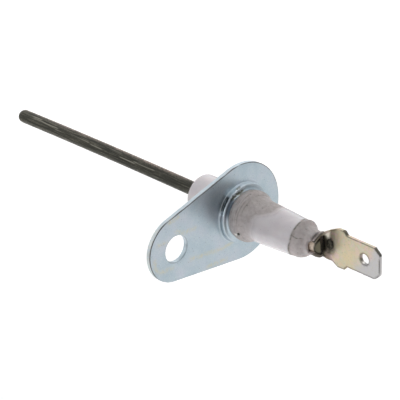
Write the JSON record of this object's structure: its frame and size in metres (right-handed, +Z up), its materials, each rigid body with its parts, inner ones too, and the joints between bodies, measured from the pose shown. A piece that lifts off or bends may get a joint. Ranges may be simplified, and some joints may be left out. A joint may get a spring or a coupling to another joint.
{
  "type": "ignition electrode",
  "caption": "Spark ignition electrode: heat-resistant wire rod through a ceramic insulator held in a two-lobe steel flange, with a flat push-on terminal folded round the rod's rear end.",
  "frame": {"origin": "in the flange's flat seating face on the burner side, midway between the rod's axis and the screw hole", "axes": "+X along the rod from the burner side to the terminal side; the screw lobe points to -Y and the rod's axis is at +Y; +Z up, across the flange's narrow direction"},
  "size_m": [0.0991, 0.0329, 0.0194],
  "materials": {
    "electrode_rod": "dark oxidised drawn wire, dull",
    "ceramic_insulator": "off-white alumina, glazed on the barrel and bare at the ends",
    "bore_cement": "matte refractory cement",
    "seat_washer": "matte mica packing",
    "flange_plate": "bright zinc plating with a bluish and straw tint",
    "terminal_tab": "plated steel with straw and pink heat tints",
    "weld_bead": "burnt black weld metal"
  },
  "bodies": {
    "root": {"electrode_rod": "electrode_rod", "ceramic_insulator": "ceramic_insulator", "bore_cement": "bore_cement", "seat_washer": "seat_washer", "flange_plate": "flange_plate", "terminal_tab": "terminal_tab", "weld_bead": "weld_bead"}
  },
  "joints": []
}
